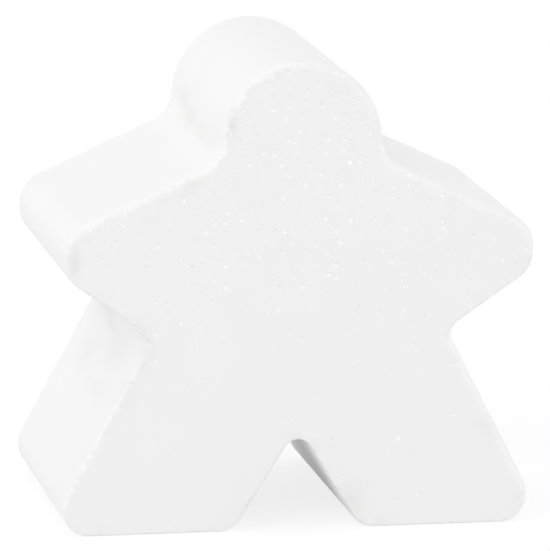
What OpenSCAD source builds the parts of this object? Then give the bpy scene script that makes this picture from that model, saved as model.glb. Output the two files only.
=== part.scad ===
// Wooden standing figure for board games: a slice of profiled wood under a film of paint.
// Millimetres. X runs across the arms, Y from front to back, Z up from the soles.
// All outline sizes are those of the painted figure. The wood lies one paint film inside them.

/* [Whole figure] */
// Width across the arms
arm_span = 16; // [14.5:0.1:18]
// Height from the soles to the top of the head
figure_h = 15.9; // [15:0.1:17.5]
// Thickness of the slice, from front to back
slice_t = 9.7; // [5:0.1:14]

/* [Head and shoulders] */
// Radius of the head
head_r = 2.7; // [2.3:0.05:3.1]
// Radius of the hollow between the head and a shoulder
neck_r = 1.15; // [0.6:0.05:1.6]
// Slope of the shoulders, in degrees
shoulder_slope = 24.5; // [20:0.5:29]

/* [Arms] */
// Height of the upper corner of an arm's end, before it is rounded
arm_top_z = 10.2; // [9.8:0.05:10.8]
// Height of the lower corner of an arm's end, before it is rounded
arm_low_z = 8.8; // [8.2:0.05:9]
// Radius of both corners of an arm's end
arm_end_r = 1.1; // [0.6:0.05:1.2]
// Distance of an armpit from the middle, before it is rounded
armpit_x = 5.05; // [4.2:0.05:5.6]
// Height of an armpit, before it is rounded
armpit_z = 6.75; // [6:0.05:7.3]
// Radius of the hollow in an armpit
armpit_r = 0.6; // [0.3:0.05:1]

/* [Legs] */
// Distance of a foot's outer corner from the middle, before it is rounded
foot_out_x = 8.6; // [7.5:0.05:9.2]
// Radius of a foot's outer corner
foot_out_r = 0.95; // [0.6:0.05:1.3]
// Distance of a foot's inner corner from the middle, before it is rounded
foot_in_x = 2.15; // [1.5:0.05:3]
// Radius of a foot's inner corner
foot_in_r = 1; // [0.6:0.05:1.4]
// Height of the fork between the legs, before it is rounded
fork_z = 3.5; // [2.5:0.05:4.5]
// Radius of the hollow at the top of the fork
fork_r = 0.45; // [0.25:0.05:0.8]

/* [Rims and paint] */
// Radius of the tumbled rim round the front and back faces, over the paint
rim_r = 0.35; // [0.25:0.01:0.5]
// Thickness of the paint film
paint_t = 0.1; // [0.05:0.01:0.2]

/* [Hidden] */
// Largest turn between two points of an arc, in degrees
arc_turn = 9;
// Steps round the quarter circle of a rim
rim_steps = 3;

// Outline corners of the right half, as [x, z], before rounding
fork = [0, fork_z];
foot_in = [foot_in_x, 0];
foot_out = [foot_out_x, 0];
armpit = [armpit_x, armpit_z];
arm_low = [arm_span / 2, arm_low_z];
arm_top = [arm_span / 2, arm_top_z];
head_mid = [0, figure_h - head_r];
// Middle of the chest, level with the middle of the arms
chest = [0, (armpit_z + arm_top_z) / 2];
// The way that the right shoulder's line runs, from the arm to the neck, and the way that it faces
shoulder_run = [-cos(shoulder_slope), sin(shoulder_slope)];
shoulder_up = [sin(shoulder_slope), cos(shoulder_slope)];

function unit(v) = v / norm(v);
function heading(v) = atan2(v.y, v.x);
function mirrored(p) = [-p.x, p.y];

// An arc is [centre, radius, start angle, turn]. The outline runs counter-clockwise, so an arc that
// turns by a positive angle is a rounded corner and one that turns by a negative angle is a hollow.
function corner_arc(from, corner, to, r) =
    let (
        along_in = unit(corner - from),
        along_out = unit(to - corner),
        turn = atan2(cross(along_in, along_out), along_in * along_out),
        start = corner - along_in * r * tan(abs(turn) / 2),
        centre = start + [-along_in.y, along_in.x] * r * sign(turn)
    )
    [centre, r, heading(start - centre), turn];

// The hollow that runs from the shoulder's line into the head's circle, touching both
function neck_arc() =
    let (
        lifted = arm_top + shoulder_up * neck_r - head_mid,
        half = lifted * shoulder_run,
        run = -half - sqrt(half * half - lifted * lifted + pow(head_r + neck_r, 2)),
        from_head = lifted + shoulder_run * run,
        start = heading(-shoulder_up),
        turn = heading(-from_head) - start
    )
    [head_mid + from_head, neck_r, start, turn > 0 ? turn - 360 : turn];

// The head's arc, from the end of the neck's hollow to the top
function head_arc() =
    let (start = heading(neck_arc()[0] - head_mid))
    [head_mid, head_r, start, 90 - start];

// The second half of an arc, from its middle on
function second_half(arc) = [arc[0], arc[1], arc[2] + arc[3] / 2, arc[3] / 2];

// Points along an arc of the outline once the outline is drawn in by inset
function arc_points(arc, inset) =
    let (
        r = arc[1] - sign(arc[3]) * inset,
        steps = ceil(abs(arc[3]) / arc_turn)
    )
    [for (i = [0:steps]) let (a = arc[2] + arc[3] * i / steps) arc[0] + r * [cos(a), sin(a)]];

foot_in_arc = corner_arc(fork, foot_in, foot_out, foot_in_r);
foot_out_arc = corner_arc(foot_in, foot_out, armpit, foot_out_r);
half_arcs = [
    second_half(corner_arc(mirrored(foot_in), fork, foot_in, fork_r)),
    foot_in_arc,
    foot_out_arc,
    corner_arc(foot_out, armpit, arm_low, armpit_r),
    corner_arc(armpit, arm_low, arm_top, arm_end_r),
    corner_arc(arm_low, arm_top, arm_top + shoulder_run, arm_end_r),
    neck_arc(),
    head_arc()
];

// The flat of the right sole, between the rounded corners and rims
sole_in_x = foot_in_arc[0].x;
sole_w = foot_out_arc[0].x - sole_in_x;
sole_d = slice_t - 2 * rim_r;

// The whole outline, drawn in by inset. The head's first point repeats the neck's last one, so it is
// left out, and the points on the middle line are used once.
function outline(inset) =
    let (
        last = len(half_arcs) - 1,
        half = [
            for (k = [0:last])
                let (points = arc_points(half_arcs[k], inset))
                for (i = [k == last ? 1 : 0:len(points) - 1]) points[i]
        ]
    )
    concat(half, [for (i = [len(half) - 2:-1:1]) mirrored(half[i])]);

// The slice with its rounded rims, drawn in by skin on every side. Each ring is the outline at one
// depth, from the edge of the front face round the front rim, then round the back rim. Each flat face
// is a fan of triangles from the chest, from which the whole outline can be seen.
module slice(skin) {
    edge_r = rim_r - skin;
    half_t = slice_t / 2 - skin;
    front = [
        for (k = [0:rim_steps])
            let (a = 90 * k / rim_steps)
            [skin + edge_r * (1 - sin(a)), edge_r * (1 - cos(a)) - half_t]
    ];
    back = [for (k = [rim_steps:-1:0]) [front[k][0], -front[k][1]]];
    rings = concat(front, back);
    wall_points = [for (ring = rings) for (p = outline(ring[0])) [p.x, ring[1], p.y]];
    count = len(wall_points);
    n = count / len(rings);
    front_chest = count;
    back_chest = count + 1;
    faces = [
        for (i = [0:n - 1])
            let (j = (i + 1) % n)
            each concat(
                [[front_chest, j, i], [back_chest, count - n + i, count - n + j]],
                [for (k = [0:n:count - 2 * n]) [k + i, k + j, k + n + j, k + n + i]]
            )
    ];
    chests = [[chest.x, -half_t, chest.y], [chest.x, half_t, chest.y]];
    polyhedron(concat(wall_points, chests), faces, convexity = 6);
}

// The sawn slice of wood
module wood_core() {
    color("burlywood") slice(paint_t);
}

// The flats of both soles, as plates between two heights
module sole_flats(low_z, high_z) {
    for (side = [0, 1])
        mirror([side, 0, 0])
            translate([sole_in_x, -sole_d / 2, low_z])
                cube([sole_w, sole_d, high_z - low_z]);
}

// The paint film round the wood, all but the flats of the soles
module paint_coat() {
    color("whitesmoke") difference() {
        slice(0);
        slice(paint_t);
        sole_flats(-paint_t, 2 * paint_t);
    }
}

// The paint film under the flats of the soles, on which the figure stands
module sole_coat() {
    color("whitesmoke") sole_flats(0, paint_t);
}

wood_core();
paint_coat();
sole_coat();
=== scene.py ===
"""A white-painted wooden game figure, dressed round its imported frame.

The figure is a slice of profiled hardwood under a film of white paint. This script draws the film as
a smooth surface with torn rims, gives the wood and the paint their finishes, and sets up a small studio
with the photograph's camera. Lengths are in metres, and points of the outline are complex numbers.
"""

import logging
import math
from dataclasses import dataclass
from enum import Enum, IntEnum

import bpy
import numpy as np
from mathutils import Matrix, Vector


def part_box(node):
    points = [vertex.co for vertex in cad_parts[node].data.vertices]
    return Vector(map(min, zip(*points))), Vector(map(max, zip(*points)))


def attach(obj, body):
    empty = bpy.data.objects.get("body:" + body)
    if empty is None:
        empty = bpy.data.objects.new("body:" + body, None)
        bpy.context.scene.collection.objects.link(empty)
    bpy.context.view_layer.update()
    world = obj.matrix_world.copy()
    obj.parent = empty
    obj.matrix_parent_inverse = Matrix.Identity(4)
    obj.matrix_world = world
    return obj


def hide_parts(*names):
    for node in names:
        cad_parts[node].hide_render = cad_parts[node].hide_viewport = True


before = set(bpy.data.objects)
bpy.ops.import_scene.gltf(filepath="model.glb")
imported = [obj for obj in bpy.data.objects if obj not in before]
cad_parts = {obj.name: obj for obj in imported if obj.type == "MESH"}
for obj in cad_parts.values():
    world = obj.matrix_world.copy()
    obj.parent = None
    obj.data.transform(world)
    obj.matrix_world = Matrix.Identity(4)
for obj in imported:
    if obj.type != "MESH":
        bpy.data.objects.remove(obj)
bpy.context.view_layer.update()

log = logging.getLogger("figure")

MM = 0.001
BODY = "root"
PHOTO_WIDTH_PX = 550
QUARTER_TURN = math.pi / 2
# The name of the map on which the film's faces are laid out.
MAP_NAME = "OFBake"

Pair = tuple[float, float]
Triple = tuple[float, float, float]
Socket = bpy.types.NodeSocket
Inputs = dict[str | int, object]


class Field(str, Enum):
    """Point attributes of the paint film, which its materials read."""

    SAWN = "sawn"
    # Where the rims are coloured darker: partly thinned paint, partly painted shade in the torn chips.
    THIN = "thin"
    # How hollow the side is; the hollows are coloured lighter, as painted light that lifts their shade.
    HOLLOW = "hollow"


class Piece(str, Enum):
    """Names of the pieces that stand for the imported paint."""

    COAT = "paint_film"
    SOLES = "sole_film"


class Side(IntEnum):
    """The sawn faces, by the way that they face along Y."""

    FRONT = -1
    BACK = 1


Fields = dict[Field, np.ndarray]
Objects = dict[Piece, bpy.types.Object]
Finishes = dict[Piece, bpy.types.Material]


@dataclass(frozen=True)
class Arc:
    """A round stretch of the outline.

    A positive turn is a rounded corner and a negative turn is a hollow, because the outline runs
    counter-clockwise.
    """

    centre: complex
    radius: float
    start: float
    turn: float

    def at(self, shares: np.ndarray) -> tuple[np.ndarray, np.ndarray]:
        """Place points by shares of the turn, centre plus radius times unit vector, with their normals."""
        spokes = np.exp(1j * (self.start + self.turn * shares))
        return self.centre + self.radius * spokes, math.copysign(1, self.turn) * spokes

    def mirrored(self) -> "Arc":
        """Give the same arc on the other side of the middle line, still run counter-clockwise."""
        return Arc(-self.centre.conjugate(), self.radius, math.pi - self.start - self.turn, self.turn)

    def length(self) -> float:
        """Give the arc's length, radius times turn."""
        return self.radius * abs(self.turn)


def corner_arc(before: complex, corner: complex, after: complex, radius: float) -> Arc:
    """Round the corner of two straight lines with an arc that touches both.

    Args:
        before: A point on the line that runs into the corner.
        corner: Where the lines meet.
        after: A point on the line that runs out of the corner.
        radius: The arc's radius.

    Returns:
        The arc.
    """
    along_in = (corner - before) / abs(corner - before)
    along_out = (after - corner) / abs(after - corner)
    turn = float(np.angle(along_out / along_in))
    start = corner - along_in * radius * math.tan(abs(turn) / 2)
    centre = start + 1j * along_in * math.copysign(radius, turn)
    return Arc(centre, radius, float(np.angle(start - centre)), turn)


@dataclass(frozen=True)
class OutlineSamples:
    """The outline at small steps, each of which starts at a point with an outward normal.

    on_sole says which steps start on the flat of a sole. tightness says how tight a hollow each step
    starts in, from 0 outside a hollow to 1 in the fork.
    """

    points: np.ndarray
    normals: np.ndarray
    on_sole: np.ndarray
    tightness: np.ndarray

    def places(self) -> tuple[np.ndarray, float]:
        """Give each point's distance along the outline, and the outline's whole length."""
        steps = np.abs(np.roll(self.points, -1) - self.points)
        return np.cumsum(steps) - steps, float(steps.sum())


@dataclass(frozen=True)
class FigureOutline:
    """The person-shaped outline of the painted figure, as straight lines joined by arcs."""

    arm_span: float
    figure_h: float
    head_r: float = 2.7 * MM
    neck_r: float = 1.15 * MM
    shoulder_slope: float = math.radians(24.5)
    arm_top_z: float = 10.2 * MM
    arm_low_z: float = 8.8 * MM
    arm_end_r: float = 1.1 * MM
    armpit_x: float = 5.05 * MM
    armpit_z: float = 6.75 * MM
    armpit_r: float = 0.6 * MM
    foot_out_x: float = 8.6 * MM
    foot_out_r: float = 0.95 * MM
    foot_in_x: float = 2.15 * MM
    foot_in_r: float = 1.0 * MM
    fork_z: float = 3.5 * MM
    fork_r: float = 0.45 * MM
    # Arcs whose ends are no further apart than this have no line between them.
    touching: float = 1e-6 * MM

    def chest(self) -> complex:
        """Give the middle of the chest, from which the whole outline can be seen."""
        return 1j * (self.armpit_z + self.arm_top_z) / 2

    def neck_arc(self, arm_top: complex, head_mid: complex, run: complex, up: complex) -> Arc:
        """Find the hollow that touches both the shoulder's line and the head's circle.

        Its centre lies one neck radius above the shoulder's line, and one neck radius outside the head.

        Args:
            arm_top: The upper corner of the arm's end, on the shoulder's line.
            head_mid: The middle of the head.
            run: The way that the shoulder's line runs, from the arm to the neck.
            up: The way that the shoulder faces.

        Returns:
            The arc of the hollow.
        """
        lifted = arm_top + up * self.neck_r - head_mid
        half = (lifted * run.conjugate()).real
        reach = self.head_r + self.neck_r
        from_head = lifted - run * (half + math.sqrt(half * half - abs(lifted) ** 2 + reach * reach))
        start = float(np.angle(-up))
        turn = float(np.angle(-from_head)) - start
        return Arc(head_mid + from_head, self.neck_r, start, turn if turn < 0 else turn - 2 * math.pi)

    def half_arcs(self) -> list[Arc]:
        """Round the corners of the right half.

        Returns:
            The arcs, from the fork between the legs up to the top of the head.
        """
        fork = 1j * self.fork_z
        foot_in = complex(self.foot_in_x, 0)
        foot_out = complex(self.foot_out_x, 0)
        armpit = complex(self.armpit_x, self.armpit_z)
        arm_low = complex(self.arm_span / 2, self.arm_low_z)
        arm_top = complex(self.arm_span / 2, self.arm_top_z)
        head_mid = 1j * (self.figure_h - self.head_r)
        run = -np.exp(-1j * self.shoulder_slope)
        whole_fork = corner_arc(-foot_in, fork, foot_in, self.fork_r)
        half_turn = whole_fork.turn / 2
        neck = self.neck_arc(arm_top, head_mid, run, -1j * run)
        head_start = float(np.angle(neck.centre - head_mid))
        return [
            Arc(whole_fork.centre, self.fork_r, whole_fork.start + half_turn, half_turn),
            corner_arc(fork, foot_in, foot_out, self.foot_in_r),
            corner_arc(foot_in, foot_out, armpit, self.foot_out_r),
            corner_arc(foot_out, armpit, arm_low, self.armpit_r),
            corner_arc(armpit, arm_low, arm_top, self.arm_end_r),
            corner_arc(arm_low, arm_top, arm_top + run, self.arm_end_r),
            neck,
            Arc(head_mid, self.head_r, head_start, QUARTER_TURN - head_start),
        ]

    def sample(self, step: float) -> OutlineSamples:
        """Walk round the outline, along each arc and then the straight line to the next one.

        The tightness of a hollow is the cube of the fork's radius over the hollow's own.

        Args:
            step: The longest distance between two points.

        Returns:
            The points of the whole outline, with the ends of every arc among them.
        """
        half = self.half_arcs()
        arcs = half + [arc.mirrored() for arc in reversed(half)]
        points, normals, on_sole, tightness = [], [], [], []
        for arc, following in zip(arcs, arcs[1:] + arcs[:1]):
            count = math.ceil(arc.length() / step)
            along, facing = arc.at(np.arange(count) / count)
            (end,), (end_facing,) = arc.at(np.ones(1))
            (start,), _ = following.at(np.zeros(1))
            straight_count = math.ceil((abs(start - end) - self.touching) / step)
            straight = end + (start - end) * np.arange(straight_count) / max(straight_count, 1)
            points += [along, straight]
            normals += [facing, np.full(straight_count, end_facing)]
            faces_down = math.isclose(end_facing.imag, -1)
            on_sole += [np.zeros(count, bool), np.full(straight_count, faces_down)]
            tight = (self.fork_r / arc.radius) ** 3 if arc.turn < 0 else 0.0
            tightness += [np.full(count, tight), np.zeros(straight_count)]
        return OutlineSamples(*map(np.concatenate, (points, normals, on_sole, tightness)))


@dataclass(frozen=True)
class Ripple:
    """Smooth seeded unevenness: a sum of cosine waves of random phase, mostly between -1 and 1."""

    seed: int
    longest: float
    shortest: float
    waves: int = 40

    def along(self, places: np.ndarray, length: float) -> np.ndarray:
        """Add up waves along a closed line, each with a whole number of turns, so that the ends meet.

        Args:
            places: Distances along the line.
            length: The line's whole length.

        Returns:
            The unevenness at each place.
        """
        draw = np.random.default_rng(self.seed)
        turns = np.round(length / self.lengths(draw))
        phases = draw.uniform(0, 2 * math.pi, self.waves)
        angles = 2 * math.pi * turns[:, None] * places / length + phases[:, None]
        return np.cos(angles).sum(0) / math.sqrt(2 * self.waves)

    def over(self, points: np.ndarray) -> np.ndarray:
        """Add up waves across a plane, each running in a direction of its own.

        Args:
            points: Points of the plane, as an array of complex numbers.

        Returns:
            The unevenness at each point.
        """
        draw = np.random.default_rng(self.seed)
        headings = np.exp(1j * draw.uniform(0, 2 * math.pi, self.waves))
        lengths = self.lengths(draw)
        phases = draw.uniform(0, 2 * math.pi, self.waves)
        across = (points[..., None] * headings.conj()).real
        return np.cos(2 * math.pi * across / lengths + phases).sum(-1) / math.sqrt(2 * self.waves)

    def lengths(self, draw: np.random.Generator) -> np.ndarray:
        """Draw the waves' lengths, spread evenly by their logarithms."""
        return np.exp(draw.uniform(math.log(self.shortest), math.log(self.longest), self.waves))


def cut(depth: float, unevenness: np.ndarray) -> np.ndarray:
    """Turn unevenness into a cut between nothing and the given depth."""
    return depth * (1 + np.clip(unevenness, -1, 1)) / 2


@dataclass(frozen=True)
class Rim:
    """A rim along the outline: its radii across the face and from front to back, and how dark its paint is.
    """

    across: np.ndarray
    along: np.ndarray
    # How dark the rim's paint is coloured: partly thinned paint, partly painted shade
    darkened: np.ndarray


@dataclass(frozen=True)
class SawnRim:
    """How the rim round a sawn face varies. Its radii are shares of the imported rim's.

    Across the face the rim is sharp where it faces left, sharper where it faces down, and round where it
    faces right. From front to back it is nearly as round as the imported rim, but sharper where it faces
    down. The saw has torn the edge in bursts, most of all where it faces left or up. Waves are given by
    their longest and shortest length.
    """

    seed: int
    # The radius across the face: to the left, more to the right, the most of both, and less below
    share: float = 0.45
    lean: float = 0.84
    most: float = 0.9
    drop: float = 0.8
    across_limits: Pair = (0.08, 1.5)
    # The radius from front to back, and less below
    depth_share: float = 0.95
    depth_drop: float = 0.6
    depth_limits: Pair = (0.3, 1.2)
    # Slow waves of both radii
    slow_rag: float = 0.10
    slow_waves: Pair = (3.0 * MM, 0.8 * MM)
    # Tears, and how their depth changes with the way that the edge faces
    tear: float = 0.42
    tear_waves: Pair = (2.2 * MM, 0.26 * MM)
    tear_steepness: float = 1.6
    tear_level: float = 0.6
    tear_left: float = 0.4
    tear_up: float = 0.3
    tear_least: float = 0.25
    # Bursts of tears
    burst_waves: Pair = (6.0 * MM, 1.0 * MM)
    burst_level: float = 0.6
    burst_least: float = 0.35
    # Darker paint along the rims: thinned paint, and painted shade in the torn chips
    darkened_waves: Pair = (5.0 * MM, 0.7 * MM)
    # Places where the edge is blunt
    blunt_spots: tuple[complex, ...] = ((-8.0 + 9.35j) * MM,)
    blunt_reach: float = 0.8 * MM
    blunt_share: float = 0.25

    def along(self, samples: OutlineSamples, radius: float) -> Rim:
        """Work out the rim at each point of the outline.

        Both radii have slow waves. The radius across the face also has quick waves, which a tanh curve
        flattens into steps, and a bell curve of the distance from each blunt spot.

        Args:
            samples: The outline.
            radius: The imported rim's radius.

        Returns:
            The rim.
        """
        wavelengths = (self.slow_waves, self.tear_waves, self.burst_waves, self.darkened_waves)
        slow, quick, burst, darkened = (
            Ripple(self.seed + number, *pair).along(*samples.places())
            for number, pair in enumerate(wavelengths)
        )
        right, up = samples.normals.real, samples.normals.imag
        down = np.maximum(-up, 0)
        lean = self.lean * np.maximum(right, 0) * (1 - down) ** 2
        wide = np.minimum(self.share + lean, self.most) * (1 - self.drop * down)
        facing = np.clip(self.tear_level - self.tear_left * right + self.tear_up * up, self.tear_least, 1)
        bursts = np.clip(self.burst_level + burst, self.burst_least, 1)
        torn = self.tear * facing * np.tanh(self.tear_steepness * quick) * bursts
        away = np.abs(samples.points[:, None] - np.array(self.blunt_spots)) / self.blunt_reach
        blunt = self.blunt_share * np.exp(-away ** 2).sum(1)
        rag = self.slow_rag * slow
        across = np.clip(wide + blunt + rag * (1 - down) + torn, *self.across_limits)
        depth = np.clip(self.depth_share - self.depth_drop * down + rag, *self.depth_limits)
        return Rim(radius * across, radius * depth, np.clip(darkened, 0, 1))


@dataclass(frozen=True)
class SawnFace:
    """A sawn face: which one it is, its rim, and the waves that the saw left on it."""

    side: Side
    rim: SawnRim
    waves: Ripple


@dataclass(frozen=True)
class HalfSkin:
    """Half of a skin, as rows from the pole of one face to where the side of the slice starts."""

    flat: np.ndarray
    y: np.ndarray
    fields: Fields

    def without(self, rows: int) -> "HalfSkin":
        """Leave out the first rows."""
        fields = {name: values[rows:] for name, values in self.fields.items()}
        return HalfSkin(self.flat[rows:], self.y[rows:], fields)


@dataclass(frozen=True)
class Skin:
    """One side of the paint film: rows of points round the slice, from a front pole to a back pole."""

    grid: np.ndarray
    poles: np.ndarray
    fields: Fields

    def points(self) -> np.ndarray:
        """Give all points as one list, row after row and then the front and back pole."""
        return np.concatenate([self.grid.reshape(-1, 3), self.poles])

    def point_fields(self) -> Fields:
        """Give the attributes in the order of the points, with each pole like the row next to it."""
        return {
            name: np.append(rows, [rows[0].mean(), rows[-1].mean()])
            for name, rows in self.fields.items()
        }

    def numbers(self, first: int) -> np.ndarray:
        """Number the points of the rows, from the given number on."""
        rows, columns = self.grid.shape[:2]
        return first + np.arange(rows * columns).reshape(rows, columns)

    def fans(self, first: int) -> list[np.ndarray]:
        """Close the front and the back with a fan of triangles each.

        Args:
            first: The number of the skin's first point.

        Returns:
            The front fan and the back fan, which face outwards.
        """
        numbers = self.numbers(first)
        front_pole = first + numbers.size
        back = pole_triangles(numbers[-1], front_pole + 1)
        return [pole_triangles(numbers[0], front_pole), back[:, ::-1]]


@dataclass(frozen=True)
class Shell:
    """A closed mesh in arrays: points, four-sided and three-sided faces, and point attributes.

    It may have a map, which gives each corner of its faces, in order, a place on a square picture. A
    place is a complex number, with shares of the picture's width and height as its parts.
    """

    points: np.ndarray
    quads: np.ndarray
    triangles: np.ndarray
    fields: Fields
    corner_map: np.ndarray | None = None

    def compact(self) -> "Shell":
        """Leave out the points that no face uses.

        Returns:
            The same mesh with its points numbered afresh.
        """
        used = np.unique(np.append(self.quads, self.triangles))
        number = np.zeros(len(self.points), int)
        number[used] = np.arange(len(used))
        fields = {name: values[used] for name, values in self.fields.items()}
        faces = number[self.quads], number[self.triangles]
        return Shell(self.points[used], *faces, fields, self.corner_map)

    def to_object(self, name: str, crease: float) -> bpy.types.Object:
        """Make a smooth-shaded object at the origin.

        Args:
            name: The object's name.
            crease: The angle past which an edge stays sharp.

        Returns:
            The new object, linked to the scene.
        """
        mesh = bpy.data.meshes.new(name)
        corners = np.append(self.quads, self.triangles)
        sides = np.repeat([4, 3], [len(self.quads), len(self.triangles)])
        mesh.vertices.add(len(self.points))
        mesh.vertices.foreach_set("co", self.points.astype(np.float32).ravel())
        mesh.loops.add(len(corners))
        mesh.loops.foreach_set("vertex_index", corners.astype(np.int32))
        mesh.polygons.add(len(sides))
        mesh.polygons.foreach_set("loop_start", (np.cumsum(sides) - sides).astype(np.int32))
        mesh.polygons.foreach_set("use_smooth", np.ones(len(sides), bool))
        mesh.update(calc_edges=True)
        for field, values in self.fields.items():
            attribute = mesh.attributes.new(field.value, "FLOAT", "POINT")
            attribute.data.foreach_set("value", values.astype(np.float32))
        if self.corner_map is not None:
            places = np.stack([self.corner_map.real, self.corner_map.imag], axis=-1)
            layer = mesh.uv_layers.new(name=MAP_NAME)
            layer.uv.foreach_set("vector", places.astype(np.float32).ravel())
        mesh.set_sharp_from_angle(angle=crease)
        made = bpy.data.objects.new(name, mesh)
        bpy.context.scene.collection.objects.link(made)
        return made


def ring_quads(numbers: np.ndarray) -> np.ndarray:
    """Join each row of point numbers to the next by four-sided faces that face outwards."""
    ahead = np.roll(numbers, -1, axis=1)
    return np.stack([numbers[:-1], numbers[1:], ahead[1:], ahead[:-1]], axis=-1)


def pole_triangles(ring: np.ndarray, pole: int) -> np.ndarray:
    """Close a ring of point numbers with a fan of triangles from one pole."""
    return np.stack([np.full_like(ring, pole), ring, np.roll(ring, -1)], axis=-1)


def edge_walls(mask: np.ndarray, outer: np.ndarray, inner: np.ndarray) -> np.ndarray:
    """Close a piece of a film along the edges where its faces stop, from the outer to the inner skin.

    Args:
        mask: Which faces of the grid belong to the piece.
        outer: Point numbers of the outer skin, with one row more than the mask.
        inner: Point numbers of the inner skin, alike.

    Returns:
        The four-sided faces of the walls.
    """
    outer_ahead = np.roll(outer, -1, axis=1)
    inner_ahead = np.roll(inner, -1, axis=1)
    across = [outer[1:-1], outer_ahead[1:-1], inner_ahead[1:-1], inner[1:-1]]
    along = [outer[1:], outer[:-1], inner[:-1], inner[1:]]
    before = np.roll(mask, 1, axis=1)
    walls = []
    for corners, inside, outside in ((across, mask[1:], mask[:-1]), (along, mask, before)):
        quads = np.stack(corners, axis=-1)
        walls += [quads[inside & ~outside], quads[outside & ~inside][:, ::-1]]
    return np.concatenate(walls)


@dataclass(frozen=True)
class FilmMap:
    """Lays the film's faces out at one scale on a square picture, so that a baked finish stays sharp.

    The front and the back lie side by side at the top. Below them lies the side of the slice, unrolled
    and cut at the top of the head into two bands. A small copy of all this in the column on the right
    holds the hidden inner skin, and the hidden walls share one small square above it. Places are complex
    numbers, in metres until they are fitted to the picture. starts says how far along the outline each of
    its steps starts, and girth how long it is.
    """

    arm_span: float
    figure_h: float
    slice_t: float
    starts: np.ndarray
    girth: float
    gap: float = 0.3 * MM
    hidden_share: float = 0.1

    def fitted(self, places: np.ndarray) -> np.ndarray:
        """Scale places in metres to shares of the picture, with the column on the right left free."""
        wide = (2 * self.arm_span + 4 * self.gap) / (1 - self.hidden_share)
        return places / max(wide, self.figure_h + 2 * self.slice_t + 4 * self.gap)

    def hidden(self, places: np.ndarray) -> np.ndarray:
        """Fit places in metres to the small copy in the lower right corner."""
        return 1 - self.hidden_share + self.hidden_share * self.fitted(places)

    def walls(self, count: int) -> np.ndarray:
        """Give each of so many walls the same small square on the picture, above the small copy."""
        square = np.array([0, 1, 1 + 1j, 1j]) * self.hidden_share / 4
        return np.tile(1 - self.hidden_share / 2 + 2j * self.hidden_share + square, (count, 1))

    def on_face(self, corners: np.ndarray, side: Side) -> np.ndarray:
        """Lay out points of the face on one side as they are seen from outside, in metres."""
        across = (3 + side) / 2 * self.gap + (2 + side) / 2 * self.arm_span - side * corners[..., 0]
        return across + 1j * (3 * self.gap + 2 * self.slice_t + corners[..., 2])

    def on_fans(self, points: np.ndarray, fans: list[np.ndarray]) -> list[np.ndarray]:
        """Lay out the fans of triangles that close the front and the back, in metres."""
        return [self.on_face(points[fan], side) for fan, side in zip(fans, Side)]

    def on_band(self, corners: np.ndarray) -> np.ndarray:
        """Lay out the side: along the outline from left to right, and from the back up to the front.

        Args:
            corners: The corners of the side's faces, as rows by columns by corners by axes.

        Returns:
            Their places in metres, with the second half of the outline below the first.
        """
        ends = np.append(self.starts[1:], self.girth)
        along = np.stack([self.starts, self.starts, ends, ends], axis=-1)
        second = along.mean(-1, keepdims=True) > self.girth / 2
        across = self.gap + along - second * self.girth / 2
        return across + 1j * ((2 - second) * self.gap + (1.5 - second) * self.slice_t - corners[..., 1])

    def on_skin(self, corners: np.ndarray, face_rows: int) -> np.ndarray:
        """Lay out a whole skin.

        Args:
            corners: The corners of its faces, as rows by columns by corners by axes.
            face_rows: How many rows of faces belong to the front, and how many to the back.

        Returns:
            The corners' places in metres.
        """
        front, band, back = np.split(corners, [face_rows, len(corners) - face_rows])
        faces = self.on_face(front, Side.FRONT), self.on_face(back, Side.BACK)
        return np.concatenate([faces[0], self.on_band(band), faces[1]])


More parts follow.
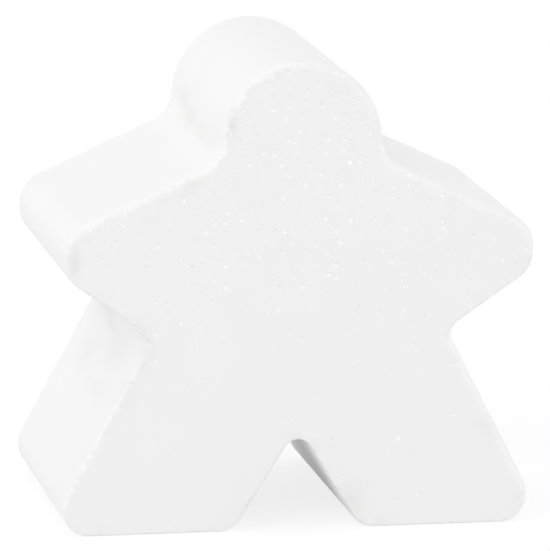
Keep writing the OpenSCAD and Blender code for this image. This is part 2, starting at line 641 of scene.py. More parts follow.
@dataclass(frozen=True)
class PaintFilm:
    """The white paint round the wood, and the paint under the flats of the soles.

    The outer skin is the outline carried through the slice: from a pole in the middle of the front face
    out to its edge, round the front rim, along the side, round the back rim and in to the back pole. The
    sawn rims are torn, the planed sides have faint lines that run from front to back, and the sawn faces
    are slightly wavy. All of this cuts into the film and never stands proud of it. The inner skin lies
    one film inside.
    """

    outline: FigureOutline
    slice_t: float
    rim_r: float
    paint_t: float
    step: float = 0.064 * MM
    hem: float = 0.75 * MM
    fan_rows: int = 8
    hem_rows: int = 8
    rim_rows: int = 8
    side_rows: int = 16
    crease: float = math.radians(60)
    faces: tuple[SawnFace, SawnFace] = (
        SawnFace(Side.FRONT, SawnRim(seed=11), Ripple(30, 6.0 * MM, 1.2 * MM)),
        SawnFace(Side.BACK, SawnRim(seed=21), Ripple(32, 6.0 * MM, 1.2 * MM)),
    )
    wave_depth: float = 0.004 * MM
    planing: Ripple = Ripple(5, 2.5 * MM, 0.25 * MM)
    planing_depth: float = 0.004 * MM
    darkened_reach: float = 0.28 * MM
    hollow_reach: float = 0.4 * MM

    @classmethod
    def from_frame(cls) -> "PaintFilm":
        """Read the film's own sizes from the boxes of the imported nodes.

        Returns:
            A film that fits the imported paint.
        """
        low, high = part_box("paint_coat")
        sole_low, sole_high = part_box("sole_coat")
        slice_t = high.y - low.y
        outline = FigureOutline(arm_span=high.x - low.x, figure_h=high.z)
        rim_r = (slice_t - (sole_high.y - sole_low.y)) / 2
        return cls(outline, slice_t, rim_r, sole_high.z)

    def face_rows(self) -> int:
        """Count the rows of points between a pole and the first row of its rim."""
        return self.fan_rows + self.hem_rows - 1

    def hollow_share(self, samples: OutlineSamples) -> np.ndarray:
        """Spread the tightness of the hollows along the outline by a bell curve, for painted light that
        lifts their shade.

        Args:
            samples: The outline.

        Returns:
            How hollow each point of the outline is, from 0 to 1.
        """
        turns = np.arange(len(samples.points) // 2 + 1)
        blur = np.exp(-2 * (math.pi * turns * self.hollow_reach / samples.places()[1]) ** 2)
        return np.fft.irfft(np.fft.rfft(samples.tightness) * blur, len(samples.points))

    def outer_skin(self, samples: OutlineSamples) -> Skin:
        """Make the outer skin, with its torn rims, planing lines and wavy faces.

        Args:
            samples: The outline.

        Returns:
            The skin.
        """
        lines = cut(self.planing_depth, self.planing.along(*samples.places()))
        return self.joined(*(
            self.half_skin(samples, face, face.rim.along(samples, self.rim_r), lines)
            for face in self.faces
        ))

    def inner_skin(self, samples: OutlineSamples) -> Skin:
        """Make the inner skin, which lies on the wood. It has even rims, and no rows on its faces.

        Args:
            samples: The outline.

        Returns:
            The skin.
        """
        none = np.zeros(len(samples.points))
        even = Rim(none + self.rim_r, none + self.rim_r, none)
        return self.joined(*(
            self.half_skin(samples, face, even, none, self.paint_t).without(self.face_rows())
            for face in self.faces
        ))

    def half_skin(self, samples: OutlineSamples, face: SawnFace, rim: Rim, lines: np.ndarray,
                  depth: float = 0.0) -> HalfSkin:
        """Carry the outline from the pole of one face to where the side of the slice starts.

        Fan rows run straight from the chest to the hem, a smooth line a little inside the face's edge.
        Hem rows go from there to the torn edge in even steps. On the rim, at angle a from the face, a row
        is drawn in by the radius across the face times 1 - sin a, and lies the radius from front to back
        times 1 - cos a behind the face.

        Args:
            samples: The outline.
            face: The sawn face.
            rim: The face's rim over the paint.
            lines: How deep the planing lines cut in, at each point of the outline.
            depth: How far the skin lies inside the painted surface.

        Returns:
            The half skin.
        """
        angles = np.linspace(0, QUARTER_TURN, self.rim_rows + 1)[:, None]
        rim_inset = depth + lines + (rim.across - depth) * (1 - np.sin(angles))
        to_edge = np.arange(self.hem_rows)[:, None] / self.hem_rows
        inset = np.concatenate([self.hem + (rim_inset[0] - self.hem) * to_edge, rim_inset])
        bands = samples.points - samples.normals * inset
        chest = self.outline.chest()
        fan = chest + (bands[0] - chest) * np.arange(1, self.fan_rows)[:, None] / self.fan_rows
        flat = np.concatenate([fan, bands])
        turned = np.concatenate([np.zeros((self.face_rows(), 1)), angles])
        sawn = np.cos(turned) * np.ones(flat.shape)
        waves = cut(self.wave_depth, face.waves.over(flat))
        behind = (rim.along - depth) * (1 - np.cos(turned)) + waves * sawn
        # Near the face's edge the rims are coloured darker in places: partly thinned paint, partly painted
        # shade.
        from_edge = np.maximum(inset - rim_inset[0], 0) / self.darkened_reach
        near_edge = np.concatenate([np.zeros(fan.shape), np.exp(-from_edge ** 2)])
        return HalfSkin(flat, face.side * (self.slice_t / 2 - depth - behind), {
            Field.SAWN: sawn,
            Field.THIN: near_edge * sawn * rim.darkened,
            Field.HOLLOW: self.hollow_share(samples) * (1 - sawn),
        })

    def joined(self, front: HalfSkin, back: HalfSkin) -> Skin:
        """Join two half skins by rows along the side, which crowd towards the rims as a cosine does.

        Args:
            front: The front half.
            back: The back half.

        Returns:
            The whole skin.
        """
        along = (1 - np.cos(math.pi * np.arange(1, self.side_rows)[:, None] / self.side_rows)) / 2

        def bridge(first: np.ndarray, last: np.ndarray) -> np.ndarray:
            """Put rows between the last row of each half."""
            return np.concatenate([first, first[-1] + (last[-1] - first[-1]) * along, last[::-1]])

        flat, y = bridge(front.flat, back.flat), bridge(front.y, back.y)
        chest = self.outline.chest()
        poles = np.array([[chest.real, half.y[0].mean(), chest.imag] for half in (front, back)])
        fields = {name: bridge(rows, back.fields[name]) for name, rows in front.fields.items()}
        return Skin(np.stack([flat.real, y, flat.imag], axis=-1), poles, fields)

    def shells(self) -> dict[Piece, Shell]:
        """Cut the film into the coat and the paint under the soles, each closed all round.

        The faces of the inner skin are turned round, so that they face the wood.

        Returns:
            The two closed meshes.
        """
        samples = self.outline.sample(self.step)
        outer, inner = self.outer_skin(samples), self.inner_skin(samples)
        points = np.concatenate([outer.points(), inner.points()])
        outer_fields, inner_fields = outer.point_fields(), inner.point_fields()
        fields = {name: np.append(outer_fields[name], inner_fields[name]) for name in Field}
        first_inner = len(outer.points())
        outer_numbers, inner_numbers = outer.numbers(0), inner.numbers(first_inner)
        outer_quads, inner_quads = ring_quads(outer_numbers), ring_quads(inner_numbers)
        outer_fans, inner_fans = outer.fans(0), [fan[:, ::-1] for fan in inner.fans(first_inner)]

        # The flats of the soles are cut out of the coat.
        under_feet = np.zeros(inner_quads.shape[:2], bool)
        under_feet[self.rim_rows:-self.rim_rows] = samples.on_sole
        in_coat = np.ones(outer_quads.shape[:2], bool)
        in_coat[self.face_rows():-self.face_rows()] = ~under_feet
        band_numbers = outer_numbers[self.face_rows():-self.face_rows()]
        coat_walls, sole_walls = (
            edge_walls(mask, band_numbers, inner_numbers) for mask in (~under_feet, under_feet)
        )
        turned_quads = inner_quads[..., ::-1]
        coat_quads = np.concatenate([outer_quads[in_coat], turned_quads[~under_feet], coat_walls])
        sole_quads = np.concatenate([outer_quads[~in_coat], turned_quads[under_feet], sole_walls])

        # The corners on the map follow the order of the coat's faces.
        layout = FilmMap(self.outline.arm_span, self.outline.figure_h, self.slice_t, *samples.places())
        half_rim = self.rim_rows // 2
        outer_map = layout.fitted(layout.on_skin(points[outer_quads], self.face_rows() + half_rim))
        inner_map = layout.hidden(layout.on_skin(points[inner_quads], half_rim))[..., ::-1]
        coat_map = np.concatenate([part.ravel() for part in (
            outer_map[in_coat],
            inner_map[~under_feet],
            layout.walls(len(coat_walls)),
            *map(layout.fitted, layout.on_fans(points, outer_fans)),
            *map(layout.hidden, layout.on_fans(points, inner_fans)),
        )])

        fans = np.concatenate(outer_fans + inner_fans)
        return {
            Piece.COAT: Shell(points, coat_quads, fans, fields, coat_map).compact(),
            Piece.SOLES: Shell(points, sole_quads, fans[:0], fields).compact(),
        }

    def build(self) -> Objects:
        """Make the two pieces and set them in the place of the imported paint.

        Returns:
            The pieces by name.
        """
        nodes = {Piece.COAT: "paint_coat", Piece.SOLES: "sole_coat"}
        made = {}
        for piece, shell in self.shells().items():
            made[piece] = shell.to_object(piece.value, self.crease)
            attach(made[piece], BODY)
            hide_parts(nodes[piece])
        return made

    def dress(self, pieces: Objects, finishes: Finishes) -> None:
        """Give each piece its finish."""
        for piece, made in pieces.items():
            made.data.materials.append(finishes[piece])


@dataclass(frozen=True)
class WoodCore:
    """The sawn slice of wood inside the paint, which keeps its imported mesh."""

    node: str = "wood_core"

    def dress(self, finish: bpy.types.Material) -> bpy.types.Object:
        """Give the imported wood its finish.

        Args:
            finish: The wood's material.

        Returns:
            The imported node's object.
        """
        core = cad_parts[self.node]
        core.data.materials.clear()
        core.data.materials.append(finish)
        return core


class NodeSheet:
    """Adds and joins the nodes of one shader tree."""

    def __init__(self, tree: bpy.types.NodeTree) -> None:
        """Start with the given tree, emptied of its nodes."""
        self.tree = tree
        tree.nodes.clear()

    def add(self, kind: str, inputs: Inputs | None = None, **settings: object) -> bpy.types.Node:
        """Add one node.

        Args:
            kind: The node's type, without the words that all shader nodes start with.
            inputs: What goes into its sockets, by name or number: another node's output, or a plain value.
            settings: Its other properties.

        Returns:
            The new node.
        """
        node = self.tree.nodes.new("ShaderNode" + kind)
        for name, value in settings.items():
            setattr(node, name, value)
        for name, value in (inputs or {}).items():
            self.feed(node.inputs[name], value)
        return node

    def feed(self, socket: Socket, value: object) -> None:
        """Join an output to a socket, or set the socket to a plain value.

        Args:
            socket: A node's input.
            value: Another node's output, or a plain value.
        """
        if isinstance(value, Socket):
            self.tree.links.new(value, socket)
        else:
            socket.default_value = value

    def math(self, operation: str, *values: object) -> Socket:
        """Work out one value from others, which are outputs or plain numbers in order."""
        return self.add("Math", dict(enumerate(values)), operation=operation).outputs[0]

    def vector(self, operation: str, *values: object) -> Socket:
        """Work out one vector from others, which are outputs or plain vectors in order."""
        return self.add("VectorMath", dict(enumerate(values)), operation=operation).outputs["Vector"]

    def measure(self, operation: str, *values: object) -> Socket:
        """Work out one value from vectors, such as a LENGTH."""
        return self.add("VectorMath", dict(enumerate(values)), operation=operation).outputs["Value"]

    def scaled(self, vector: object, factor: object) -> Socket:
        """Multiply a vector, or a colour, by one factor."""
        return self.add("VectorMath", {0: vector, "Scale": factor}, operation="SCALE").outputs["Vector"]

    def between(self, value: object, low: object, high: object, to: Pair = (0.0, 1.0)) -> Socket:
        """Map a value smoothly from the range between low and high to another one, and hold it there."""
        ends = {"Value": value, "From Min": low, "From Max": high, "To Min": to[0], "To Max": to[1]}
        return self.add("MapRange", ends, interpolation_type="SMOOTHSTEP").outputs["Result"]

    def blend(self, share: object, first: object, second: object) -> Socket:
        """Mix a share of the second colour into the first."""
        return self.add("Mix", {0: share, 6: first, 7: second}, data_type="RGBA").outputs[2]

    def noise(self, place: object, patch: object, detail: float) -> Socket:
        """Make cloudy noise between 0 and 1, with patches of a given size and finer ones in them."""
        per_metre = self.math("DIVIDE", 1.0, patch)
        return self.add("TexNoise", {"Vector": place, "Scale": per_metre, "Detail": detail}).outputs["Fac"]

    def seen(self) -> Socket:
        """Tell what is seen directly, mirrored or through glass, as 1, from what only lights, as 0.

        Returns:
            The result's socket.
        """
        paths = self.add("LightPath").outputs
        direct = self.math("MAXIMUM", paths["Is Camera Ray"], paths["Is Glossy Ray"])
        return self.math("MAXIMUM", direct, paths["Is Transmission Ray"])


def opaque(colour: Triple) -> tuple[float, float, float, float]:
    """Add full opacity to a colour."""
    return (*colour, 1.0)


class GroupSheet(NodeSheet):
    """A node group with named inputs and outputs."""

    def __init__(self, name: str, inputs: dict[str, str], outputs: tuple[str, ...]) -> None:
        """Make the group.

        Args:
            name: The group's name.
            inputs: Its inputs, each with Vector or Float as its kind.
            outputs: Its outputs, which are all plain values.
        """
        super().__init__(bpy.data.node_groups.new(name, "ShaderNodeTree"))
        for socket, kind in inputs.items():
            self.tree.interface.new_socket(socket, in_out="INPUT", socket_type="NodeSocket" + kind)
        for socket in outputs:
            self.tree.interface.new_socket(socket, in_out="OUTPUT", socket_type="NodeSocketFloat")
        self.given = self.tree.nodes.new("NodeGroupInput").outputs
        self.result = self.tree.nodes.new("NodeGroupOutput").inputs


def pore_group() -> bpy.types.NodeTree:
    """Build the pores of end grain: irregular pits in some of the cells of a flat pattern.

    Each cell has a pit of its own size round its point if its random number is below the share.

    Returns:
        The group's tree. Pits is 1 in the middle of a pit and 0 outside, and Chance is a random share
        for each cell.
    """
    bend, bends_per_cell, bend_detail = 0.6, 3.1, 2.0
    least_size, floor_share = 0.5, 0.25
    inputs = {"Vector": "Vector", "Spacing": "Float", "Share": "Float", "Size": "Float"}
    sheet = GroupSheet("wood_pores", inputs, ("Pits", "Chance"))
    given = sheet.given
    cells = sheet.scaled(given["Vector"], sheet.math("DIVIDE", 1.0, given["Spacing"]))
    bends = sheet.add("TexNoise", {"Vector": cells, "Scale": bends_per_cell, "Detail": bend_detail})
    shift = sheet.vector("SUBTRACT", bends.outputs["Color"], (0.5, 0.5, 0.5))
    bent = sheet.vector("MULTIPLY_ADD", shift, (bend, bend, 0.0), cells)
    pattern = sheet.add("TexVoronoi", {"Vector": bent, "Scale": 1.0}, voronoi_dimensions="2D").outputs
    chance = sheet.add("SeparateColor", {0: pattern["Color"]}).outputs
    radius = sheet.math("MULTIPLY", given["Size"], sheet.math("ADD", chance["Green"], least_size))
    pit = sheet.between(pattern["Distance"], radius, sheet.math("MULTIPLY", radius, floor_share))
    there = sheet.math("LESS_THAN", chance["Red"], given["Share"])
    sheet.feed(sheet.result["Pits"], sheet.math("MULTIPLY", pit, there))
    sheet.feed(sheet.result["Chance"], chance["Blue"])
    return sheet.tree


def mottle_group() -> bpy.types.NodeTree:
    """Build a soft cloudy unevenness, for colours, gloss, pores and growth rings.

    Returns:
        The group's tree. Factor lies about 1, by the amount up or down.
    """
    detail, middle, stretch = 4.0, 0.5, 4.0
    sheet = GroupSheet("mottle", {"Vector": "Vector", "Patch": "Float", "Amount": "Float"}, ("Factor",))
    given = sheet.given
    cloud = sheet.noise(given["Vector"], given["Patch"], detail)
    swing = sheet.math("MULTIPLY", sheet.math("SUBTRACT", cloud, middle), stretch)
    sheet.feed(sheet.result["Factor"], sheet.math("MULTIPLY_ADD", swing, given["Amount"], 1.0))
    return sheet.tree


def patch_group() -> bpy.types.NodeTree:
    """Build ragged patches within a mask, for rims coloured darker by thinned paint and painted shade.

    Returns:
        The group's tree. Patches is 1 where the cloud is dense and the mask is full.
    """
    detail, soft_edge = 5.0, 0.2
    inputs = {"Vector": "Vector", "Mask": "Float", "Patch": "Float", "Share": "Float"}
    sheet = GroupSheet("ragged_patches", inputs, ("Patches",))
    given = sheet.given
    cloud = sheet.noise(given["Vector"], given["Patch"], detail)
    start = sheet.math("SUBTRACT", 1.0, given["Share"])
    dense = sheet.between(cloud, start, sheet.math("ADD", start, soft_edge))
    sheet.feed(sheet.result["Patches"], sheet.math("MULTIPLY", dense, given["Mask"]))
    return sheet.tree


def shade_spot_group() -> bpy.types.NodeTree:
    """Build one soft spot: strength times e to the minus d squared, for a distance of d reaches.

    Returns:
        The group's tree. Spot is the strength in the middle and fades out to 0.
    """
    inputs = {"Vector": "Vector", "Middle": "Vector", "Reach": "Vector", "Strength": "Float"}
    sheet = GroupSheet("painted_shade_spot", inputs, ("Spot",))
    given = sheet.given
    away = sheet.vector("SUBTRACT", given["Vector"], given["Middle"])
    reaches = sheet.vector("DIVIDE", away, given["Reach"])
    squared = sheet.measure("DOT_PRODUCT", reaches, reaches)
    bell = sheet.math("EXPONENT", sheet.math("MULTIPLY", squared, -1.0))
    sheet.feed(sheet.result["Spot"], sheet.math("MULTIPLY", bell, given["Strength"]))
    return sheet.tree


@dataclass(frozen=True)
class Effects:
    """The node groups that the finishes share."""

    pores: bpy.types.NodeTree
    mottle: bpy.types.NodeTree
    patches: bpy.types.NodeTree
    shade_spot: bpy.types.NodeTree

    @classmethod
    def build(cls) -> "Effects":
        """Make each group once."""
        return cls(pore_group(), mottle_group(), patch_group(), shade_spot_group())


@dataclass(frozen=True)
class Cloud:
    """A soft unevenness about 1: the size of its patches, and how far it swings up or down."""

    patch: float
    amount: float


@dataclass(frozen=True)
# A spot of painted shade, or on the head's rim a darker spot of paint.
class ShadeSpot:
    """A soft grey spot on the paint: its middle and its reach along each axis in mm, and its strength."""

    middle: Triple
    reach: Triple
    strength: float


# Spots of painted shade in the neck's hollow, in the armpits, on the leg sides under the arms, on the rim
# of the left arm's end and in the corner by the fork; the spot on the head's left rim darkens the paint
# there.
PAINTED_SHADE_SPOTS = (
    ShadeSpot((-2.68, 2.3, 13.5), (0.4, 0.9, 0.4), 0.2),
    ShadeSpot((-2.73, 0.9, 13.05), (0.4, 0.9, 0.3), 0.2),
    ShadeSpot((-2.77, -1.4, 12.95), (0.4, 1.4, 0.28), 0.2),
    ShadeSpot((-2.77, -3.3, 12.95), (0.4, 0.7, 0.25), 0.14),
    ShadeSpot((-5.34, 1.5, 6.2), (0.5, 1.5, 0.17), 0.24),
    ShadeSpot((-5.46, 0.2, 5.97), (0.5, 0.9, 0.12), 0.2),
    ShadeSpot((-5.25, -4.6, 6.6), (0.3, 0.6, 0.5), 0.14),
    ShadeSpot((-5.3, -4.75, 6.1), (0.25, 0.3, 0.6), 0.13),
    ShadeSpot((-5.9, -4.75, 5.0), (0.25, 0.3, 0.7), 0.1),
    ShadeSpot((-6.05, 1.7, 4.8), (0.5, 1.0, 0.6), 0.15),
    ShadeSpot((-5.7, -1.4, 5.5), (0.6, 1.8, 0.6), 0.16),
    ShadeSpot((-6.35, -1.6, 4.3), (0.5, 1.2, 0.25), 0.12),
    ShadeSpot((-7.66, -4.85, 9.3), (0.2, 0.4, 0.6), 0.26),
    ShadeSpot((-2.42, -4.85, 13.9), (0.16, 0.4, 0.45), 0.26),
    ShadeSpot((1.85, -4.85, 1.0), (0.45, 0.4, 0.6), 0.2),
)


def new_material(name: str) -> bpy.types.Material:
    """Make a material that uses nodes.

    Args:
        name: The material's name.

    Returns:
        The material.
    """
    material = bpy.data.materials.new(name)
    material.use_nodes = True
    return material


class FinishSheet(NodeSheet):
    """The nodes of one finish of the figure.

    place is the object's own coordinates, and turned is the same with X and Y in the sawn faces.
    """

    def __init__(self, name: str, effects: Effects) -> None:
        """Make the finish's material, and read the coordinates.

        Args:
            name: The material's name.
            effects: The shared node groups.
        """
        self.material = new_material(name)
        super().__init__(self.material.node_tree)
        self.effects = effects
        self.place = self.add("TexCoord").outputs["Object"]
        turn = {"Vector": self.place, "Rotation": (-QUARTER_TURN, 0.0, 0.0)}
        self.turned = self.add("Mapping", turn).outputs[0]

    def field(self, name: Field) -> Socket:
        """Read one of the mesh's own point attributes."""
        return self.add("Attribute", attribute_name=name.value).outputs["Fac"]

    def effect(self, tree: bpy.types.NodeTree, **inputs: object) -> bpy.types.NodeOutputs:
        """Place one of the shared groups.

        Args:
            tree: The group's tree.
            inputs: What goes into its sockets. Its Vector is the object's own coordinates unless given.

        Returns:
            The group's outputs.
        """
        node = self.add("Group", node_tree=tree)
        for name, value in {"Vector": self.place, **inputs}.items():
            self.feed(node.inputs[name], value)
        return node.outputs

    def clouded(self, cloud: Cloud) -> Socket:
        """Place a soft unevenness about 1."""
        return self.effect(self.effects.mottle, Patch=cloud.patch, Amount=cloud.amount)["Factor"]

    def cover(self, colour: Socket, roughness: Socket, height: Socket, depth: float) -> bpy.types.Material:
        """Put one Principled shader over a relief.

        Args:
            colour: The colour.
            roughness: The roughness.
            height: The relief's height, as a share of the depth.
            depth: The depth that a height of 1 stands for.

        Returns:
            The finished material.
        """
        bump = self.add("Bump", {"Height": height, "Distance": depth})
        sockets = {"Base Color": colour, "Roughness": roughness, "Normal": bump.outputs[0]}
        shader = self.add("BsdfPrincipled", sockets)
        self.add("OutputMaterial", {"Surface": shader.outputs[0]})
        return self.material


@dataclass(frozen=True)
class PaintFinish:
    """Satin white paint.

    End-grain pores show through it on the sawn faces, coloured whiter as a painted highlight. Its rims are
    darker in patches, partly thinned paint and partly painted shade in the torn chips. The hollows of the
    sides are coloured lighter, as painted light that lifts their shade, and soft spots of painted shade
    darken the neck's hollow, the armpits, the leg sides under the arms and a few rims.
    """

    name: str
    shade_spots: tuple[ShadeSpot, ...] = ()
    colour: Triple = (0.876, 0.876, 0.874)
    colour_cloud: Cloud = Cloud(2.5 * MM, 0.006)
    # Painted light: lighter than the paint, to lift the shade in the hollows
    hollow_lift_colour: Triple = (0.97, 0.97, 0.968)
    # Darker rims in patches: partly thinned paint, partly painted shade in the torn chips
    dark_rim_colour: Triple = (0.70, 0.695, 0.685)
    dark_rim_patch: float = 0.6 * MM
    dark_rim_share: float = 0.62
    dark_rim_strength: float = 0.2
    # Painted shade, for the soft spots
    shade_colour: Triple = (0.62, 0.615, 0.605)
    shade_cloud: Cloud = Cloud(0.7 * MM, 0.35)
    # Whiter than the paint, as a painted highlight in the open pits
    pore_colour: Triple = (0.97, 0.97, 0.968)
    pore_spacing: float = 0.38 * MM
    pore_size: float = 0.2
    # The share of pores that are open, below and above two shares of the figure's height
    pore_shares: Pair = (0.05, 0.84)
    pore_heights: Pair = (0.2, 0.95)
    pore_cloud: Cloud = Cloud(2.2 * MM, 0.5)
    pore_depth: float = 0.0145 * MM
    # How much of the painted highlight each open pit gets, at least and by chance
    highlight_least: float = 0.6
    highlight_spread: float = 0.5
    roughness: float = 0.36
    sawn_roughness: float = 0.14
    gloss_cloud: Cloud = Cloud(0.9 * MM, 0.12)
    peel_patch: float = 0.22 * MM
    peel_detail: float = 2.0
    peel_height: float = 0.2

    def material(self, effects: Effects, figure_h: float) -> bpy.types.Material:
        """Build the paint's material.

        Args:
            effects: The shared node groups.
            figure_h: The figure's height, since more pores are open further up.

        Returns:
            The material.
        """
        sheet = FinishSheet(self.name, effects)
        sawn = sheet.field(Field.SAWN)
        pores = self.pores(sheet, figure_h)
        pits = sheet.math("MULTIPLY", pores["Pits"], sawn)
        # Painted highlight: the open pits are coloured whiter than the paint, by a random share for each
        # pit, so that they show as bright specks.
        pit_highlight_share = sheet.math("MULTIPLY_ADD", pores["Chance"], self.highlight_spread, self.highlight_least)
        pit_highlight = sheet.math("MULTIPLY", pits, pit_highlight_share)
        pitted = sheet.blend(pit_highlight, self.film_colour(sheet), opaque(self.pore_colour))
        colour = sheet.scaled(pitted, sheet.clouded(self.colour_cloud))
        plain = sheet.math("MULTIPLY_ADD", sawn, self.sawn_roughness, self.roughness)
        roughness = sheet.math("MULTIPLY", sheet.clouded(self.gloss_cloud), plain)
        peel = sheet.noise(sheet.place, self.peel_patch, self.peel_detail)
        relief = sheet.math("MULTIPLY_ADD", peel, self.peel_height, sheet.math("MULTIPLY", pits, -1.0))
        return sheet.cover(colour, roughness, relief, self.pore_depth)

    def pores(self, sheet: FinishSheet, figure_h: float) -> bpy.types.NodeOutputs:
        """Open more of the pores towards the head, and in loose patches.

        Args:
            sheet: The material's nodes.
            figure_h: The figure's height.

        Returns:
            The outputs of the pores' group.
        """
        low, high = (share * figure_h for share in self.pore_heights)
        height = sheet.add("SeparateXYZ", {0: sheet.place}).outputs["Z"]
        even_share = sheet.between(height, low, high, self.pore_shares)
        share = sheet.math("MULTIPLY", even_share, sheet.clouded(self.pore_cloud))
        return sheet.effect(sheet.effects.pores, Vector=sheet.turned, Spacing=self.pore_spacing,
                            Share=share, Size=self.pore_size)

    def film_colour(self, sheet: FinishSheet) -> Socket:
        """Colour the film: lighter in the hollows as painted light, darker rims, and spots of painted
        shade.

        Args:
            sheet: The material's nodes.

        Returns:
            The colour's socket.
        """
        # Painted light: the hollows are coloured lighter, to lift their shade.
        film = sheet.blend(sheet.field(Field.HOLLOW), opaque(self.colour), opaque(self.hollow_lift_colour))
        # The rims are coloured darker in ragged patches: partly thinned paint, partly painted shade in the
        # torn chips.
        patches = sheet.effect(sheet.effects.patches, Mask=sheet.field(Field.THIN), Patch=self.dark_rim_patch,
                               Share=self.dark_rim_share)["Patches"]
        thin = sheet.math("MULTIPLY", patches, self.dark_rim_strength)
        film = sheet.blend(thin, film, opaque(self.dark_rim_colour))
        if not self.shade_spots:
            return film
        # Spots of painted shade darken the film.
        painted_shade = 0.0
        for shade_spot in self.shade_spots:
            spot = sheet.effect(sheet.effects.shade_spot, Middle=Vector(shade_spot.middle) * MM,
                                Reach=Vector(shade_spot.reach) * MM, Strength=shade_spot.strength)
            painted_shade = sheet.math("ADD", painted_shade, spot["Spot"])
        clouded_shade = sheet.math("MULTIPLY", painted_shade, sheet.clouded(self.shade_cloud))
        return sheet.blend(clouded_shade, film, opaque(self.shade_colour))


@dataclass(frozen=True)
class WoodFinish:
    """Pale hardwood: growth rings and pores on the sawn ends, and long grain down the sides."""

    name: str = "pale_hardwood"
    early_colour: Triple = (0.66, 0.47, 0.29)
    late_colour: Triple = (0.47, 0.30, 0.165)
    late_onset: float = 2.5
    colour_cloud: Cloud = Cloud(1.5 * MM, 0.06)
    pith: Triple = (9.0 * MM, -26.0 * MM, 0.0)
    ring_width: float = 1.6 * MM
    ring_cloud: Cloud = Cloud(6.0 * MM, 0.012)
    pore_colour: Triple = (0.25, 0.15, 0.08)
    pore_spacing: float = 0.22 * MM
    pore_share: float = 0.7
    pore_size: float = 0.22
    pore_strength: float = 0.7
    pore_depth: float = 0.02 * MM
    roughness: float = 0.62

    def material(self, effects: Effects) -> bpy.types.Material:
        """Build the wood's material. Colour darkens over each ring, as a power of the share of the ring.

        Args:
            effects: The shared node groups.

        Returns:
            The material.
        """
        sheet = FinishSheet(self.name, effects)
        from_pith = sheet.vector("SUBTRACT", sheet.turned, self.pith)
        distance = sheet.measure("LENGTH", sheet.vector("MULTIPLY", from_pith, (1.0, 1.0, 0.0)))
        swayed = sheet.math("MULTIPLY", distance, sheet.clouded(self.ring_cloud))
        ring_share = sheet.math("FRACT", sheet.math("DIVIDE", swayed, self.ring_width))
        season = sheet.math("POWER", ring_share, self.late_onset)
        pits = sheet.effect(effects.pores, Vector=sheet.turned, Spacing=self.pore_spacing,
                            Share=self.pore_share, Size=self.pore_size)["Pits"]
        ringed = sheet.blend(season, opaque(self.early_colour), opaque(self.late_colour))
        dark = sheet.math("MULTIPLY", pits, self.pore_strength)
        pitted = sheet.blend(dark, ringed, opaque(self.pore_colour))
        cloud = sheet.clouded(self.colour_cloud)
        roughness = sheet.math("MULTIPLY", cloud, self.roughness)
        relief = sheet.math("SUBTRACT", 1.0, pits)
        return sheet.cover(sheet.scaled(pitted, cloud), roughness, relief, self.pore_depth)


@dataclass(frozen=True)
class FloorFinish:
    """A pale table.

    To the eye, and in reflections, most of its white is its own, so that shadows stay soft. Far from the
    figure the lamps give out, and the table's own white makes up for it.
    """

    name: str = "pale_table"
    colour: Triple = (0.86, 0.86, 0.86)
    shadow_share: float = 0.24
    near: float = 60 * MM
    far: float = 400 * MM
    glow: Pair = (0.81, 0.88)

    def material(self) -> bpy.types.Material:
        """Build the floor's material: plain matt for the lighting, and part glow for what is seen.

        Returns:
            The material.
        """
        material = new_material(self.name)
        sheet = NodeSheet(material.node_tree)
        dim_colour = tuple(self.shadow_share * part for part in self.colour)
        matt, dim = (
            sheet.add("BsdfDiffuse", {"Color": opaque(colour)}).outputs[0]
            for colour in (self.colour, dim_colour)
        )
        away = sheet.measure("LENGTH", sheet.add("TexCoord").outputs["Object"])
        glow = sheet.between(away, self.near, self.far, self.glow)
        white = sheet.add("Emission", {"Strength": glow}).outputs[0]
        lit = sheet.add("AddShader", {0: dim, 1: white}).outputs[0]
        shown = sheet.add("MixShader", {0: sheet.seen(), 1: matt, 2: lit}).outputs[0]
        sheet.add("OutputMaterial", {"Surface": shown})
        return material


@dataclass(frozen=True)
class SoftBox:
    """A square studio lamp that points at the figure.

    Its level is the share of white that it alone gives a white surface that faces it, so its power is
    the level times pi squared times the distance squared.
    """

    name: str
    towards: Triple
    size: float
    level: float
    distance: float = 400 * MM

    def build(self, aim: Vector) -> bpy.types.Object:
        """Hang the lamp and turn it to the figure.

        Args:
            aim: The point that it lights.

        Returns:
            The lamp's object.
        """
        lamp = bpy.data.lights.new(self.name, "AREA")
        lamp.shape = "SQUARE"
        lamp.size = self.size
        lamp.energy = self.level * (math.pi * self.distance) ** 2
        made = bpy.data.objects.new(self.name, lamp)
        way = Vector(self.towards).normalized()
        made.location = aim + way * self.distance
        made.rotation_euler = way.to_track_quat("Z", "Y").to_euler()
        bpy.context.scene.collection.objects.link(made)
        return made


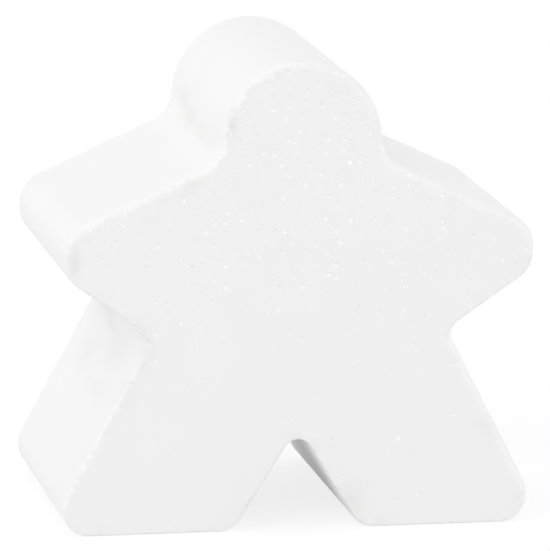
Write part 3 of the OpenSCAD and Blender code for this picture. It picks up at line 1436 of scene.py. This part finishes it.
@dataclass(frozen=True)
class PhotoCamera:
    """The photograph's camera: angles and a distance from its aim, and its focal length."""

    yaw: float = math.radians(11.954)
    pitch: float = math.radians(12.111)
    roll: float = math.radians(1.055)
    distance: float = 183.66 * MM
    aim: Triple = (0.121 * MM, 0.0, 7.679 * MM)
    focal_px: float = 5376.0
    sensor_mm: float = 36.0
    clip_start: float = 1.0 * MM

    def build(self) -> bpy.types.Object:
        """Place the camera and make it the scene's own.

        Its own axes are right, up and back. Back points from the aim to the camera, right is level, and
        right and up are then turned about back by the roll.

        Returns:
            The camera's object.
        """
        lens = bpy.data.cameras.new("photo_camera")
        lens.sensor_fit = "HORIZONTAL"
        lens.sensor_width = self.sensor_mm
        lens.lens = self.focal_px / PHOTO_WIDTH_PX * self.sensor_mm
        lens.clip_start = self.clip_start
        made = bpy.data.objects.new("photo_camera", lens)
        level = math.cos(self.pitch)
        back = Vector((-math.sin(self.yaw) * level, -math.cos(self.yaw) * level, math.sin(self.pitch)))
        right = Vector((math.cos(self.yaw), -math.sin(self.yaw), 0.0))
        turn = Matrix.Rotation(self.roll, 3, back)
        axes = [turn @ right, turn @ back.cross(right), back]
        place = Matrix.Translation(Vector(self.aim) + back * self.distance)
        made.matrix_world = place @ Matrix(axes).transposed().to_4x4()
        bpy.context.scene.collection.objects.link(made)
        bpy.context.scene.camera = made
        return made


@dataclass(frozen=True)
class Studio:
    """A pale table under a white sky, with a soft lamp to the left and weaker ones on the other sides."""

    floor_r: float = 900 * MM
    floor_points: int = 96
    floor_gap: float = 0.01 * MM
    sky_level: float = 0.68
    aim: Triple = (0.0, 0.0, 8 * MM)
    lamps: tuple[SoftBox, ...] = (
        SoftBox("key_lamp", (-0.72, -0.42, 0.55), 260 * MM, 0.335),
        SoftBox("side_lamp", (0.92, -0.33, 0.20), 200 * MM, 0.245),
        SoftBox("front_lamp", (0.0, -0.90, 0.43), 260 * MM, 0.045),
        SoftBox("back_lamp", (-0.20, 0.60, 0.77), 260 * MM, 0.11),
    )

    def build_floor(self) -> bpy.types.Object:
        """Lay the table: one round sheet, a hair below the soles.

        Returns:
            The table's object.
        """
        rim = self.floor_r * np.exp(2j * math.pi * np.arange(self.floor_points) / self.floor_points)
        flat = np.append(rim, 0)
        points = np.stack([flat.real, flat.imag, np.full(flat.shape, -self.floor_gap)], axis=-1)
        triangles = pole_triangles(np.arange(len(rim)), len(rim))
        floor = Shell(points, np.zeros((0, 4), int), triangles, {}).to_object("pale_table", QUARTER_TURN)
        floor.data.materials.append(FloorFinish().material())
        return floor

    def build_sky(self) -> None:
        """Light the world evenly, and show it as plain white."""
        world = bpy.data.worlds.new("white_sky")
        world.use_nodes = True
        bpy.context.scene.world = world
        sheet = NodeSheet(world.node_tree)
        strength = sheet.math("MULTIPLY_ADD", sheet.seen(), 1.0 - self.sky_level, self.sky_level)
        light = sheet.add("Background", {"Color": opaque((1.0, 1.0, 1.0)), "Strength": strength})
        sheet.add("OutputWorld", {"Surface": light.outputs[0]})

    def build(self) -> None:
        """Set up the camera, the table, the sky and the lamps, with colours shown as they are written."""
        bpy.context.scene.view_settings.view_transform = "Standard"
        PhotoCamera().build()
        self.build_floor()
        self.build_sky()
        for lamp in self.lamps:
            lamp.build(Vector(self.aim))


def main() -> None:
    """Set up the studio, then build and dress the figure's pieces in order."""
    logging.basicConfig(level=logging.INFO, format="%(name)s: %(message)s")
    Studio().build()
    effects = Effects.build()
    film = PaintFilm.from_frame()
    pieces = film.build()
    sole_finish = PaintFinish("scuffed_white", roughness=0.6, colour_cloud=Cloud(2.5 * MM, 0.04))
    finishes = {Piece.COAT: PaintFinish("satin_white", PAINTED_SHADE_SPOTS), Piece.SOLES: sole_finish}
    film.dress(pieces, {
        piece: finish.material(effects, film.outline.figure_h) for piece, finish in finishes.items()
    })
    core = WoodCore().dress(WoodFinish().material(effects))
    for made in (core, *pieces.values()):
        log.info("%s: %d faces, finish %s", made.name, len(made.data.polygons), made.data.materials[0].name)


if __name__ == "__main__":
    main()
